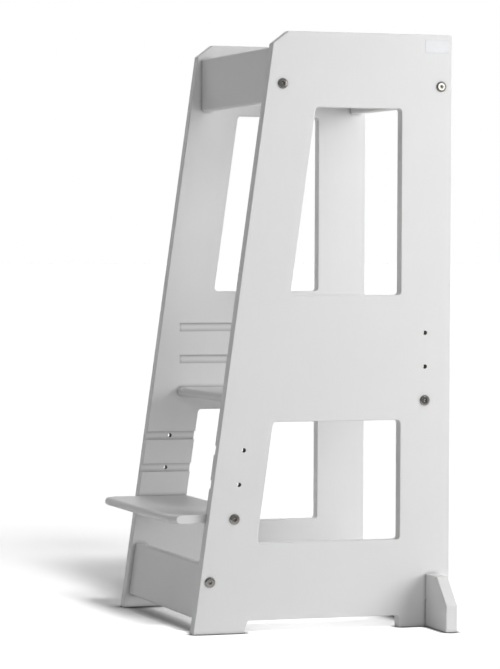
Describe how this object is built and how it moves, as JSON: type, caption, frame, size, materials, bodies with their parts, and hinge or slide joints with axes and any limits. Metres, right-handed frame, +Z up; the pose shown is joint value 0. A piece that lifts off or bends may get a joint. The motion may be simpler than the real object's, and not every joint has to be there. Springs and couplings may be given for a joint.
{
  "type": "toddler kitchen helper stool",
  "caption": "White standing tower for a small child: two slanted side panels with windows, guard rails, a platform and a step that bolt into grooves at different heights, and a rear stabiliser",
  "frame": {"origin": "on the floor, at the centre of the bounding box's base", "axes": "+Z up; -Y towards the climbing side, where the step stands out; +X towards the side panel that faces the viewer in the picture, across the stool"},
  "size_m": [0.5388, 0.4326, 0.88],
  "materials": {
    "white_paint": "satin white paint on board",
    "bolt_steel": "nickel-plated steel",
    "zinc_steel": "zinc-plated steel",
    "beech": "raw fluted beech",
    "label": "blank white sticker"
  },
  "bodies": {
    "frame": {"side_panel_right": "white_paint", "side_panel_left": "white_paint", "top_front_rail": "white_paint", "top_rear_rail": "white_paint", "bottom_front_board": "white_paint", "stabiliser_board": "white_paint", "platform": "white_paint", "step": "white_paint", "top_front_rail_bolts": "bolt_steel", "top_rear_rail_bolts": "bolt_steel", "bottom_board_bolts": "bolt_steel", "top_front_rail_nuts": "zinc_steel", "top_rear_rail_nuts": "zinc_steel", "bottom_board_nuts": "zinc_steel", "platform_nuts": "zinc_steel", "step_nuts": "zinc_steel", "top_front_rail_dowels": "beech", "top_rear_rail_dowels": "beech", "bottom_board_dowels": "beech", "blank_label": "label"},
    "platform_bolt_right": {"platform_bolt_right": "bolt_steel"},
    "platform_bolt_left": {"platform_bolt_left": "bolt_steel"},
    "step_bolt_right": {"step_bolt_right": "bolt_steel"},
    "step_bolt_left": {"step_bolt_left": "bolt_steel"}
  },
  "joints": [
    {"name": "platform_bolt_right_out", "type": "slide", "parent": "frame", "child": "platform_bolt_right", "axis": [1, 0, 0], "range_m": [0, 0.055]},
    {"name": "platform_bolt_left_out", "type": "slide", "parent": "frame", "child": "platform_bolt_left", "axis": [-1, 0, 0], "range_m": [0, 0.055]},
    {"name": "step_bolt_right_out", "type": "slide", "parent": "frame", "child": "step_bolt_right", "axis": [1, 0, 0], "range_m": [0, 0.055]},
    {"name": "step_bolt_left_out", "type": "slide", "parent": "frame", "child": "step_bolt_left", "axis": [-1, 0, 0], "range_m": [0, 0.055]}
  ]
}
